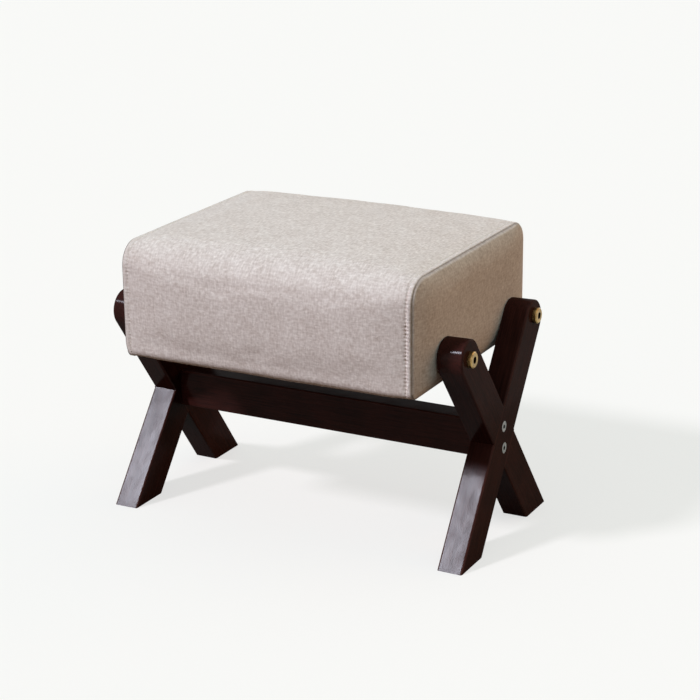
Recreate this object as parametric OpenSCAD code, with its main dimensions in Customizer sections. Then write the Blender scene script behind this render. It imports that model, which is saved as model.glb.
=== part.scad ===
// Padded footstool: a soft box seat bolted between two crossed-leg frames that one
// stretcher rail joins. Millimetres, +Z up, X along the rail, the front at -Y.
// The origin lies on the floor under the middle of the seat.

/* [Frames] */
// Height of the seat's fullest point above the floor
overall_h = 285.5; // [275:0.5:330]
// Distance over the outer edges of the two frames' feet
frame_w = 374.8; // [340:0.2:440]
// Depth of each frame over the tips of its feet, at its inner face
foot_depth = 195; // [180:1:220]
// Angle at which the two frames lean towards each other
splay = 1.2; // [0:0.1:3]
// Wide face of the wood that the legs and the rail are cut from
stock_w = 36.5; // [32:0.5:42]
// Thin face of the same wood
stock_t = 25; // [20:1:32]
// Radius that eases the long edges of that wood
edge_r = 1.8; // [0.6:0.1:3]
// Spacing of the two seat bolts at each end of the seat
bolt_spread = 147; // [130:1:165]
// Height of the seat bolts above the seat's underside
bolt_rise = 29; // [24:1:36]
// Distance from the rear seat bolts to the tips of their legs
rear_tip = 14.5; // [12:0.5:18]
// Spacing of the two screws at each crossing
screw_spread = 21; // [17:1:23]

/* [Seat form] */
// Depth of the seat at its end seams
seat_depth = 243.5; // [225:0.5:260]
// Height of the seat at its end seams
seat_h = 108.5; // [100:0.5:120]
// Rise of the crowned top above the end seams
top_crown = 9; // [2:0.5:12]
// Bulge of the front and rear faces past the end seams
face_crown = 6; // [2:0.5:10]
// Bulge of the end panels past their seams
end_crown = 8; // [4:0.2:9]
// Radius of the seat's top front edge
front_r = 22.5; // [14:0.5:28]
// Radius of the seat's top rear edge
rear_r = 19.5; // [8:0.5:26]
// Radius of the seat's lower edges
under_r = 7; // [5:0.5:12]
// Width of the sewn roll beside each end seam
roll_w = 8; // [7:0.5:12]
// Height of that roll
roll_h = 1.1; // [0.5:0.1:2.5]

/* [Padding and cover] */
// Thickness of the linen and its lining
cloth_t = 1.2; // [0.8:0.1:2]
// Thickness of the top foam at the end seams
foam_t = 30; // [26:1:40]
// Padding between the cover and the front and rear boards at the end seams
side_pad = 2.8; // [2:0.2:5]
// Distance from the end seams in to the end boards
end_pad = 4.5; // [3:0.5:6]
// Width of the cover's hems under the seat
hem_w = 24; // [18:1:32]
// Thickness of the dust cover
dust_t = 0.5; // [0.3:0.1:1]

/* [Boards] */
// Thickness of the end boards
end_board_t = 18; // [15:1:22]
// Thickness of the front and rear boards
side_board_t = 12; // [9:1:18]
// Thickness of the deck board
deck_t = 9; // [6:1:12]
// Radius on the boards' lower outer edges
board_r = 8; // [6:0.5:10]
// Short sides of the triangular corner blocks
block_w = 28; // [20:1:36]

/* [Hardware] */
// Diameter of the seat bolts' shanks
bolt_d = 6; // [5:0.5:7]
// Diameter of the seat bolts' heads
bolt_head_d = 15; // [13:0.5:18]
// Height of those heads
bolt_head_h = 4.2; // [3:0.2:6]
// Hex key that fits the seat bolts
bolt_key = 6; // [4:1:7]
// Outer diameter of the threaded inserts
insert_d = 10; // [9:0.5:12]
// Length of the threaded inserts
insert_l = 13; // [10:0.5:14]
// Diameter of the crossing screws' shanks
screw_d = 5; // [4:0.5:6]
// Diameter of the crossing screws' countersunk heads
screw_head_d = 10.5; // [9:0.5:12]
// Length of the crossing screws
screw_l = 66; // [55:1:80]

/* [Hidden] */
$fn = 48;

// Overrun of every cut past the face that it opens
over = 1;
// Gap round a bolt or screw in its hole
hole_gap = 0.3;
// Gap round a threaded insert in its board
insert_gap = 0.1;
// Gap round a bolt where it pierces the cloth and the padding
pierce_gap = 1;
// Gap between the legs' round tops and the fullest part of an end panel
seat_gap = 0.3;
// Gap between the hems of an end panel and of the band
hem_gap = 0.3;
// Gap above and below a corner block
block_gap = 6;
// Rim and thickness of a threaded insert's flange
flange_rim = 1.8;
flange_t = 1.2;
// Chamfers of the bolt head, the bolt tip and the insert's end
head_chamfer = 0.9;
tip_chamfer = 0.8;
// Depth of the hex sockets in the bolts and in the screws
bolt_socket = 2.8;
screw_socket = 1.8;
// Hex key that fits the crossing screws
screw_key = 3.5;
// Height of a crossing screw's cone and its depth below the wood
screw_cone = 2.9;
screw_sink = 0.2;
// Distance that the dust cover stays inside the seat's lower edge
dust_inset = 13;

// Heights of the seat and its bolts
seat_top = overall_h - top_crown;
seat_z = seat_top - seat_h;
seat_mid = seat_z + seat_h / 2;
bolt_z = seat_z + bolt_rise;

// The legs lean so that each runs from a foot's tip to the far bolt
bolt_y = bolt_spread / 2;
reach = foot_depth / 2 + bolt_y;
lean = acos(stock_w / (2 * norm([reach, bolt_z]))) - atan2(bolt_z, reach);
cross_z = bolt_z - bolt_y / tan(lean);
leg_l = (bolt_z + stock_w) / cos(lean);
flush_t = 2 * edge_r;

// Faces of the right-hand frame before it leans about the rail's end, at inner_x
inner_x = frame_w / 2 - stock_t / cos(splay) - cross_z * tan(splay);
outer_x = inner_x + stock_t;
mid_x = inner_x + stock_t / 2;

// Planes of the seat, which meets the leaning frames at the legs' round tops
seam_x = inner_x - (bolt_z + stock_w / 2 - cross_z) * sin(splay) - seat_gap - end_crown;
seam_y = seat_depth / 2;
board_x = seam_x - end_pad;
board_y = seam_y - cloth_t - side_pad;
board_z = seat_z + cloth_t;
deck_top = seat_top - foam_t;
deck_z = deck_top - deck_t;
hem_y = seam_y - hem_w;

// Where an insert starts on its bolt, with all of its tilted flange inside the board
flange_r = insert_d / 2 + flange_rim;
insert_x = inner_x + (board_x - inner_x + (bolt_z - cross_z) * sin(splay)) / cos(splay)
    - flange_r * tan(splay);

// The seat's soft form
face_power = 2.6;
length_power = 3;
end_power = 6;
corner_steps = 4;
front_shares = [0.25, 0.5, 0.75, 1];
top_shares = [0.2, 0.4, 0.6, 0.8];
under_shares = [0.25, 0.5, 0.75];
length_shares = [0, 0.27, 0.5, 0.7, 0.84];
ring_shares = [1, 0.985, 0.95, 0.88, 0.75, 0.45];

function mix(a, b, share) = a + (b - a) * share;
function flip(list) = [for (i = [len(list) - 1 : -1 : 0]) list[i]];

// Points on a rounded edge of the seat's section, each with its outward direction
function edge_points(y, z, r, from, to) = [
    for (i = [0 : corner_steps])
        let (a = mix(from, to, i / corner_steps))
            [y + r * cos(a), z + r * sin(a), cos(a), sin(a)]
];

// The seat's section at its end seams, from the front hem over the top to the rear hem
section = concat(
    [[-hem_y, seat_z, 0, -1]],
    edge_points(under_r - seam_y, seat_z + under_r, under_r, 270, 180),
    [for (s = front_shares) [-seam_y, mix(seat_z + under_r, deck_top, s), -1, 0]],
    edge_points(front_r - seam_y, seat_top - front_r, front_r, 180, 90),
    [for (s = top_shares) [mix(front_r - seam_y, seam_y - rear_r, s), seat_top, 0, 1]],
    edge_points(seam_y - rear_r, seat_top - rear_r, rear_r, 90, 0),
    [for (s = flip(front_shares)) [seam_y, mix(seat_z + under_r, deck_top, s), 1, 0]],
    edge_points(seam_y - under_r, seat_z + under_r, under_r, 0, -90),
    [[hem_y, seat_z, 0, -1]]
);
under_line = [for (s = under_shares) [mix(hem_y, -hem_y, s), seat_z, 0, -1]];
perimeter = concat(section, under_line);
front_low = 1 + corner_steps;
front_deck = front_low + len(front_shares);
rear_deck = len(section) - 1 - front_deck;
rear_low = len(section) - 1 - front_low;

// How full the seat is at a place along it, from 0 at a seam to 1 in the middle
function fullness(x) = 1 - pow(abs(x) / seam_x, length_power);
function roll(x) =
    let (u = (seam_x - abs(x)) / roll_w)
        u < 1 ? roll_h * sin(180 * u) : 0;

// A point of the cover at x, moved out by the crowns and the roll and in by depth
function cover_point(p, x, depth) =
    let (
        rise = max(0, p[3]),
        side = p[2],
        drop = 1 - pow(min(1, abs(p[1] - seat_mid) * 2 / seat_h), face_power),
        span = 1 - pow(min(1, abs(p[0]) / seam_y), face_power),
        out = roll(x) * (p[3] < 0 ? 1 + p[3] : 1)
    )
        [
            x,
            p[0] + side * (fullness(x) * face_crown * drop + out - depth),
            p[1] + rise * (fullness(x) * top_crown * span + out) - p[3] * depth
        ];
function cover_ring(points, x, depth) = [for (p = points) cover_point(p, x, depth)];
function part_of(points, from, to) = [for (i = [from : to]) points[i]];

// Places along the seat: all, and those between the end boards
half_places = concat(
    [for (s = length_shares) s * seam_x],
    [seam_x - roll_w, board_x]
);
board_places = concat([for (x = flip(half_places)) -x], part_of(half_places, 1, len(half_places) - 1));
seam_places = [seam_x - end_pad / 2, seam_x];
places = concat([for (x = flip(seam_places)) -x], board_places, seam_places);

// Triangles between neighbouring rings of n points each, with the other diagonal in the
// first turned quads of each ring
function ring_faces(rings, n, turned = 0) = [
    for (i = [0 : rings - 2], j = [0 : n - 1])
        let (a = i * n + j, b = i * n + (j + 1) % n)
            each j < turned
                ? [[a, b, a + n], [b, b + n, a + n]]
                : [[a, b, b + n], [a, b + n, a + n]]
];
function fan(first, n) = [for (j = [1 : n - 2]) [first, first + j + 1, first + j]];

// A solid through convex rings, closed by a fan at each end
module lofted(rings) {
    n = len(rings[0]);
    last = (len(rings) - 1) * n;
    polyhedron(
        points = [for (ring = rings) each ring],
        faces = concat(
            ring_faces(len(rings), n),
            fan(0, n),
            [for (f = fan(last, n)) flip(f)]
        )
    );
}

// A sheet of cloth between an outer and an inner ribbon at each place; its inner side has
// the triangles of the padding that it lies on
module ribbon(outer, inner) {
    m = len(outer[0]);
    n = 2 * m;
    last = (len(outer) - 1) * n;
    rings = [for (i = [0 : len(outer) - 1]) concat(flip(inner[i]), outer[i])];
    end_strip = [
        for (j = [0 : m - 2])
            each [[m + j, m - 1 - j, m + j + 1], [m + j + 1, m - 1 - j, m - 2 - j]]
    ];
    polyhedron(
        points = [for (ring = rings) each ring],
        faces = concat(
            ring_faces(len(rings), n, m - 1),
            end_strip,
            [for (f = end_strip) flip([for (v = f) v + last])]
        )
    );
}

// A ring of an end panel: the seam's outline drawn towards the panel's middle
function panel_ring(share, depth) = [
    for (p = perimeter)
        [
            seam_x + (end_crown - depth) * (1 - pow(share, end_power)),
            (p[0] - p[2] * depth) * share,
            mix(seat_mid, p[1] - p[3] * depth, share)
        ]
];
function panel_rings(depth) = [for (s = ring_shares) panel_ring(s, depth)];
function panel_peak(depth) = [seam_x + end_crown - depth, 0, seat_mid];

// The sewn end panel without its hem and bolt holes, and the padding behind it
module panel_shell() {
    n = len(perimeter);
    count = len(ring_shares);
    outer = panel_rings(0);
    inner = panel_rings(cloth_t);
    rings = concat(flip(inner), outer);
    last = (2 * count - 1) * n;
    peak = 2 * count * n;
    polyhedron(
        points = concat(
            [for (ring = rings) each ring],
            [panel_peak(0), panel_peak(cloth_t)]
        ),
        faces = concat(
            ring_faces(2 * count, n),
            [for (j = [0 : n - 1]) [peak + 1, (j + 1) % n, j]],
            [for (j = [0 : n - 1]) [peak, last + j, last + (j + 1) % n]]
        )
    );
}

module padding_shell() {
    n = len(perimeter);
    rings = concat(
        [for (x = [board_x, seam_places[0]]) cover_ring(perimeter, x, cloth_t)],
        panel_rings(cloth_t)
    );
    last = (len(rings) - 1) * n;
    back = len(rings) * n;
    polyhedron(
        points = concat(
            [for (ring = rings) each ring],
            [[board_x, 0, seat_mid], panel_peak(cloth_t)]
        ),
        faces = concat(
            ring_faces(len(rings), n),
            [for (j = [0 : n - 1]) [back, (j + 1) % n, j]],
            [for (j = [0 : n - 1]) [back + 1, last + j, last + (j + 1) % n]]
        )
    );
}

// Leans what belongs to the right-hand frame in about the rail's end
module leaning() {
    translate([inner_x, 0, cross_z]) rotate([0, -splay, 0]) translate([-inner_x, 0, -cross_z])
        children();
}

// Puts a copy at each of the two seat bolts of the right-hand end, square to the frame
module at_bolts(x) {
    for (side = [-1, 1])
        leaning() translate([x, side * bolt_y, bolt_z]) rotate([0, 90, 0]) children();
}

// Puts a copy at each of the two screws of the right-hand crossing, square to the frame
module at_screws(x) {
    for (side = [-1, 1])
        leaning() translate([x, 0, cross_z + side * screw_spread / 2]) rotate([0, 90, 0])
            children();
}

module both_ends() {
    children();
    mirror([1, 0, 0]) children();
}

// Section of the wood with its eased corners
module stock_section() {
    square([stock_t - 2 * edge_r, stock_w], center = true);
    square([stock_t, stock_w - 2 * edge_r], center = true);
    for (x = [-1, 1], y = [-1, 1])
        translate([x * (stock_t / 2 - edge_r), y * (stock_w / 2 - edge_r)]) circle(edge_r);
}

// Half of that section, from the middle of the wide face out
module stock_half_section() {
    intersection() {
        rotate([0, 0, 90]) stock_section();
        translate([0, -stock_w]) square([stock_w, 2 * stock_w]);
    }
}

// A leg's bar with its round top; side is the side of its top bolt, -1 front and 1 rear
module leg_bar(side) {
    drop = side > 0 ? stock_w / 2 - rear_tip : 0;
    translate([mid_x, side * bolt_y, bolt_z]) rotate([-side * lean, 0, 0])
        translate([0, 0, -drop]) {
            translate([0, 0, -leg_l]) linear_extrude(leg_l) stock_section();
            rotate([90, 0, 90]) rotate_extrude(angle = 180) stock_half_section();
        }
}

// A layer of the square bar at the crossing: side is its leg's, x is where the layer
// starts and t its thickness
module lap_bar(side, x, t) {
    translate([x, 0, cross_z]) rotate([-side * lean, 0, 0])
        translate([0, -stock_w / 2, -2 * stock_w]) cube([t, stock_w, 4 * stock_w]);
}

// A leg of the right-hand frame: flush_x starts the layer where its crossing has square
// edges, and cut_x the half that the other leg takes
module leg(side, flush_x, cut_x) {
    difference() {
        leaning() difference() {
            union() {
                leg_bar(side);
                intersection() {
                    lap_bar(side, flush_x, flush_t);
                    lap_bar(-side, flush_x, flush_t);
                }
            }
            lap_bar(-side, cut_x, stock_t / 2 + over);
        }
        translate([0, -foot_depth, -leg_l]) cube([frame_w, 2 * foot_depth, leg_l]);
        at_bolts(inner_x - over) cylinder(h = stock_t + 2 * over, d = bolt_d + 2 * hole_gap);
        at_screws(inner_x - over) cylinder(h = stock_t + 2 * over, d = screw_d + 2 * hole_gap);
        at_screws(outer_x) countersink();
    }
}

// The cut that a crossing screw's head goes into, with the wood's face at zero
module countersink() {
    r = screw_head_d / 2;
    rotate_extrude() polygon([
        [0, -screw_sink - screw_cone],
        [screw_d / 2, -screw_sink - screw_cone],
        [r, -screw_sink],
        [r, over],
        [0, over]
    ]);
}

module front_leg() {
    color("#2b1f1f") leg(1, outer_x - flush_t, inner_x - over);
}

module rear_leg() {
    color("#30231f") leg(-1, inner_x, mid_x);
}

module stretcher_rail() {
    color("#33241f") difference() {
        translate([-outer_x, 0, cross_z]) rotate([90, 0, 90])
            linear_extrude(2 * outer_x) stock_section();
        both_ends() {
            leaning() translate([inner_x, -stock_w, cross_z - stock_w]) cube(2 * stock_w);
            at_screws(outer_x - screw_l) cylinder(h = screw_l, d = screw_d + hole_gap);
        }
    }
}

// A brass bolt with its head seated at zero and its shank running down
module seat_bolt() {
    r = bolt_head_d / 2;
    shank = outer_x - insert_x + insert_l - over;
    difference() {
        rotate_extrude() polygon([
            [0, -shank],
            [bolt_d / 2 - tip_chamfer, -shank],
            [bolt_d / 2, tip_chamfer - shank],
            [bolt_d / 2, 0],
            [r, 0],
            [r, bolt_head_h - head_chamfer],
            [r - head_chamfer, bolt_head_h],
            [0, bolt_head_h]
        ]);
        translate([0, 0, bolt_head_h - bolt_socket])
            cylinder(h = bolt_socket + over, d = bolt_key / cos(30), $fn = 6);
    }
}

module seat_bolts() {
    color("#c9a227") both_ends() at_bolts(outer_x) seat_bolt();
}

// A countersunk screw with the wood's face at zero and its shank running down
module crossing_screw() {
    difference() {
        rotate_extrude() polygon([
            [0, -screw_l],
            [screw_d / 2 - tip_chamfer, -screw_l],
            [screw_d / 2, tip_chamfer - screw_l],
            [screw_d / 2, -screw_sink - screw_cone],
            [screw_head_d / 2, -screw_sink],
            [0, -screw_sink]
        ]);
        translate([0, 0, -screw_sink - screw_socket])
            cylinder(h = screw_socket + over, d = screw_key / cos(30), $fn = 6);
    }
}

module crossing_screws() {
    color("#c8c8c8") both_ends() at_screws(outer_x) crossing_screw();
}

// A threaded insert with its flange flush at zero and its body running down
module bolt_insert() {
    difference() {
        rotate_extrude() polygon([
            [0, -insert_l],
            [insert_d / 2 - tip_chamfer, -insert_l],
            [insert_d / 2, tip_chamfer - insert_l],
            [insert_d / 2, -flange_t],
            [flange_r, -flange_t],
            [flange_r, 0],
            [0, 0]
        ]);
        translate([0, 0, -insert_l - over]) cylinder(h = insert_l + 2 * over, d = bolt_d + insert_gap);
    }
}

module bolt_inserts() {
    color("#a9a9a4") both_ends() at_bolts(insert_x) bolt_insert();
}

// The way of the right-hand bolts through the padding and the end panel
module bolt_way() {
    at_bolts(insert_x - over) cylinder(h = end_pad + 2 * end_crown, d = bolt_d + 2 * pierce_gap);
}

// Section of a board that runs along X behind the front or rear face
module side_board_section() {
    difference() {
        translate([board_y - side_board_t, board_z]) square([side_board_t, deck_z - board_z]);
        translate([board_y - board_r, board_z - over]) square([board_r + over, board_r + over]);
    }
    intersection() {
        translate([board_y - board_r, board_z + board_r]) circle(board_r);
        translate([board_y - side_board_t, board_z]) square([side_board_t, board_r]);
    }
}

module seat_rear_board() {
    color("#c9a878") translate([end_board_t - board_x, 0, 0]) rotate([90, 0, 90])
        linear_extrude(2 * (board_x - end_board_t)) side_board_section();
}

module seat_front_board() {
    color("#cfae7e") mirror([0, 1, 0]) seat_rear_board();
}

// An end board with its rounded lower corners and the inserts' seats
module end_board() {
    difference() {
        translate([board_x - end_board_t, 0, 0]) rotate([90, 0, 90])
            linear_extrude(end_board_t) {
                translate([-board_y, board_z + board_r])
                    square([2 * board_y, deck_z - board_z - board_r]);
                translate([board_r - board_y, board_z])
                    square([2 * (board_y - board_r), board_r]);
                for (side = [-1, 1])
                    translate([side * (board_y - board_r), board_z + board_r]) circle(board_r);
            }
        at_bolts(insert_x - end_board_t - over)
            cylinder(h = end_board_t + 2 * over, d = insert_d + 2 * insert_gap);
        at_bolts(insert_x - flange_t)
            cylinder(h = flange_t + over, d = 2 * (flange_r + insert_gap));
    }
}

module seat_right_board() {
    color("#c4a06e") end_board();
}

module seat_left_board() {
    color("#c4a06e") mirror([1, 0, 0]) end_board();
}

module seat_deck() {
    color("#d8bb8c") translate([-board_x, -board_y, deck_z]) cube([2 * board_x, 2 * board_y, deck_t]);
}

module corner_blocks() {
    x = board_x - end_board_t;
    y = board_y - side_board_t;
    color("#b98f5c") both_ends() for (side = [0, 1])
        mirror([0, side, 0]) translate([0, 0, board_z + block_gap])
            linear_extrude(deck_z - board_z - block_gap)
                polygon([[x, y], [x - block_w, y], [x, y - block_w]]);
}

module top_foam() {
    points = part_of(section, front_deck, rear_deck);
    color("#efe6b8") lofted([for (x = board_places) cover_ring(points, x, cloth_t)]);
}

// Foam sheet on the rear board, from the lower edge's round up to the deck
module rear_padding() {
    points = part_of(section, rear_deck, rear_low);
    color("#f2eac4") lofted([
        for (x = board_places)
            concat(
                cover_ring(points, x, cloth_t),
                [[x, board_y, seat_z + under_r], [x, board_y, deck_top]]
            )
    ]);
}

module front_padding() {
    mirror([0, 1, 0]) rear_padding();
}

module end_padding() {
    color("#f2eac4") difference() {
        padding_shell();
        bolt_way();
    }
}

module cover_band() {
    color("#b7aca2") ribbon(
        [for (x = places) cover_ring(section, x, 0)],
        [for (x = places) cover_ring(section, x, cloth_t)]
    );
}

// A sewn end panel with the hem that folds under the end board
module end_panel() {
    color("#9d9083") difference() {
        union() {
            panel_shell();
            translate([seam_x - hem_w, hem_gap - hem_y, seat_z])
                cube([hem_w, 2 * (hem_y - hem_gap), cloth_t]);
        }
        bolt_way();
    }
}

module dust_cover() {
    x = seam_x - dust_inset;
    y = seam_y - dust_inset;
    color("#1c1c1e") translate([-x, -y, seat_z - dust_t]) cube([2 * x, 2 * y, dust_t]);
}

mirror([1, 0, 0]) front_leg();  // left_front_leg
mirror([1, 0, 0]) rear_leg();  // left_rear_leg
front_leg();  // right_front_leg
rear_leg();  // right_rear_leg
stretcher_rail();
seat_bolts();
crossing_screws();
bolt_inserts();
seat_front_board();
seat_rear_board();
seat_left_board();
seat_right_board();
seat_deck();
corner_blocks();
top_foam();
front_padding();
rear_padding();
mirror([1, 0, 0]) end_padding();  // left_padding
end_padding();  // right_padding
cover_band();
mirror([1, 0, 0]) end_panel();  // left_end_panel
end_panel();  // right_end_panel
dust_cover();
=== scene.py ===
"""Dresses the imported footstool: linen over foam, dark lacquered frames, brass and zinc.

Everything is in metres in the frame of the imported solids: Z up, X along the rail and the
front at -Y. The hard solids stay as they are and get their finishes here. Sewn cloth,
foam and a dust cover are made here and stand for the soft solids. The scale of a pattern
in a finish counts its features a metre, unless the finish says otherwise.
"""

from __future__ import annotations

import logging
import math
from collections.abc import Callable
from dataclasses import dataclass
from enum import Enum
from functools import partial

import bmesh
import bpy
import numpy as np
from mathutils import Matrix, Vector, noise
from mathutils.bvhtree import BVHTree


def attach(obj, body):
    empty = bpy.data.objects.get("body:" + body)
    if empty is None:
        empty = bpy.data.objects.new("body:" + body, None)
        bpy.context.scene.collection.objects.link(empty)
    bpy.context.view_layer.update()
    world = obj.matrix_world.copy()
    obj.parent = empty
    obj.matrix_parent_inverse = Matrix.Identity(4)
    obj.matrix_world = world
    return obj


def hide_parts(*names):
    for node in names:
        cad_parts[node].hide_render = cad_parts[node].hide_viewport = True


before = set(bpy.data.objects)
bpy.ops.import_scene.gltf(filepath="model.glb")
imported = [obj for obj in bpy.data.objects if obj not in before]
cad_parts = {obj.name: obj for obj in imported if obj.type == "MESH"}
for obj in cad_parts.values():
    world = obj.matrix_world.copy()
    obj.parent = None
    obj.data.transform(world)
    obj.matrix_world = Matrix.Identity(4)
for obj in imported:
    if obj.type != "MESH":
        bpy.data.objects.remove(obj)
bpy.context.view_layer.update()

MM = 0.001
BODY = "root"
LOG = logging.getLogger("footstool")
RNG = np.random.default_rng(11)
Socket = bpy.types.NodeSocket
Adder = Callable[..., "bpy.types.NodeOutputs"]


class Slot(Enum):
    """Names of the record's material slots."""

    ZINC_STEEL = "zinc_steel"
    FOAM = "foam"
    LINEN = "linen"
    DUST_CLOTH = "dust_cloth"


class End(Enum):
    """The two ends of the seat, by the sign of X."""

    LEFT = -1
    RIGHT = 1


def linear(hex_colour: str) -> tuple[float, float, float, float]:
    """Turns an sRGB hex colour linear.

    Args:
        hex_colour: six hex digits after a hash sign.

    Returns:
        Linear red, green and blue, and an alpha of 1.
    """
    parts = [int(hex_colour[i : i + 2], 16) / 255 for i in (1, 3, 5)]
    turned = [c / 12.92 if c <= 0.04045 else ((c + 0.055) / 1.055) ** 2.4 for c in parts]
    return (turned[0], turned[1], turned[2], 1.0)


def add_node(
    tree: bpy.types.NodeTree,
    kind: str,
    values: dict | None = None,
    links: dict | None = None,
    stops: tuple[tuple[float, str], ...] = (),
    **settings: object,
) -> bpy.types.NodeOutputs:
    """Adds one node.

    Args:
        tree: the node tree.
        kind: the node's type, without its ShaderNode prefix.
        values: what each unlinked input holds, by name or number.
        links: the output socket that feeds each linked input, by name or number.
        stops: place and sRGB hex colour of each stop of its ramp, from low to high.
        **settings: the node's own settings.

    Returns:
        The new node's outputs.
    """
    node = tree.nodes.new("ShaderNode" + kind)
    for name, value in settings.items():
        setattr(node, name, value)
    for key, value in (values or {}).items():
        node.inputs[key].default_value = value
    for key, socket in (links or {}).items():
        tree.links.new(socket, node.inputs[key])
    if stops:
        elements = node.color_ramp.elements
        while len(elements) < len(stops):
            elements.new(0.5)
        for element, (place, colour) in zip(elements, stops):
            element.position = place
            element.color = linear(colour)
    return node.outputs


@dataclass(frozen=True)
class Finish:
    """A finish on one Principled shader, named for what the real surface is."""

    name: str

    def sockets(self, node: Adder) -> dict[str, Socket | float]:
        """Works out what each of the shader's sockets gets.

        Args:
            node: adds a node to the material, as add_node() does.

        Returns:
            By socket name, the output that feeds it or the constant that it holds.
        """
        raise NotImplementedError

    def build(self) -> bpy.types.Material:
        """Builds the material, with every constant on the shader's own socket.

        Returns:
            The material.
        """
        material = bpy.data.materials.new(self.name)
        material.use_nodes = True
        tree = material.node_tree
        shader = tree.nodes["Principled BSDF"]
        for name, value in self.sockets(partial(add_node, tree)).items():
            if isinstance(value, Socket):
                tree.links.new(value, shader.inputs[name])
            else:
                shader.inputs[name].default_value = value
        return material


@dataclass(frozen=True)
class WovenLinen(Finish):
    """Plain-woven linen and cotton blend: matt, dry, with pale slubs and flecks.

    It reads the cloth's own UV map, which holds the flat cloth's metres. The real threads
    lie about 0.7 mm apart and would vanish in the picture, so they are drawn at 1 mm. The
    slubs are 5.3 by 1.9 mm and 1.8 by 5.6 mm, each with where its pattern starts, the
    flecks 2.4 mm and the clouds 22 mm. The shares say how much of the tone comes from
    the slubs, the clouds and the weave.
    """

    name: str = "linen_plain_weave"
    thread: float = 1.0 * MM
    slubs: tuple[tuple[float, float, float], ...] = ((190, 520, 3.0), (560, 180, 17.0))
    flecks: float = 420.0
    clouds: float = 45.0
    shares: tuple[float, float, float] = (0.45, 0.48, 0.09)
    dark: str = "#a7958b"
    shade: str = "#c3b3ab"
    light: str = "#d5c8c1"
    slub: str = "#e8ddd6"
    # painted shade: the dark colour that the cloth takes where it dives into a seam
    seam_shade: str = "#3a2a1e"
    bump: float = 0.1 * MM

    def sockets(self, node: Adder) -> dict[str, Socket | float]:
        """Draws the weave with slubs, flecks, slow changes of tone and painted shade along the
        seams.

        Args:
            node: adds a node to the material.

        Returns:
            What each of the shader's sockets gets.
        """
        uv = node("UVMap", uv_map="cloth")["UV"]
        split = node("SeparateXYZ", links={0: uv})
        waves = []
        for axis in "XY":
            turn = {1: math.pi / self.thread}
            phase = node("Math", turn, {0: split[axis]}, operation="MULTIPLY")[0]
            wave = node("Math", links={0: phase}, operation="SINE")[0]
            waves.append(node("Math", links={0: wave}, operation="ABSOLUTE")[0])
        over = node("TexChecker", {"Scale": 1 / self.thread}, {"Vector": uv})["Fac"]
        crossing = {"Factor": over, "A": waves[0], "B": waves[1]}
        weave = node("Mix", links=crossing, data_type="FLOAT")["Result"]
        slubs = []
        for across, along, start in self.slubs:
            place = {"Scale": (across, along, 1), "Location": (start, start / 3, 0)}
            stretched = node("Mapping", place, {"Vector": uv})[0]
            grain = {"Scale": 1.0, "Detail": 1.5, "Roughness": 0.5}
            slub = node("TexNoise", grain, {"Vector": stretched})["Fac"]
            span = {"From Min": 0.38, "From Max": 0.66}
            slubs.append(node("MapRange", span, {"Value": slub})["Result"])
        both = {"A": slubs[0], "B": slubs[1]}
        threads = node("Mix", {"Factor": 0.5}, both, data_type="FLOAT")["Result"]
        grain = {"Scale": self.flecks, "Detail": 1.0, "Roughness": 0.5}
        fleck = node("TexNoise", grain, {"Vector": uv})["Fac"]
        span = {"From Min": 0.62, "From Max": 0.72}
        fleck = node("MapRange", span, {"Value": fleck})["Result"]
        grain = {"Scale": self.clouds, "Detail": 4.0, "Roughness": 0.7}
        cloud = node("TexNoise", grain, {"Vector": uv})["Fac"]
        tone = node("Math", {1: self.shares[0]}, {0: threads}, operation="MULTIPLY")[0]
        for share, pattern in zip(self.shares[1:], (cloud, weave)):
            tone = node("Math", {1: share}, {0: pattern, 2: tone}, operation="MULTIPLY_ADD")[0]
        shades = (0.12, self.dark), (0.34, self.shade), (0.62, self.light), (0.9, self.slub)
        yarn = node("ValToRGB", links={"Fac": tone}, stops=shades)["Color"]
        reach = node("Math", {1: 0.55}, {0: fleck}, operation="MULTIPLY")[0]
        flecked = {"Factor": reach, "A": yarn}
        colour = node("Mix", {"B": linear(self.slub)}, flecked, data_type="RGBA")["Result"]
        # painted shade along the seams, as strong as each piece's seam attribute says
        seam = node("Attribute", attribute_name="seam_shade")["Fac"]
        seam_shaded = {"Factor": seam, "A": colour}
        colour = node("Mix", {"B": linear(self.seam_shade)}, seam_shaded, data_type="RGBA")["Result"]
        height = node("Math", {1: 0.8}, {0: threads, 2: weave}, operation="MULTIPLY_ADD")[0]
        relief = {"Strength": 0.6, "Distance": self.bump}
        return {
            "Base Color": colour,
            "Normal": node("Bump", relief, {"Height": height})[0],
            "Roughness": 0.92,
            "Specular IOR Level": 0.2,
            "Sheen Weight": 0.12,
            "Sheen Roughness": 0.45,
        }


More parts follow.
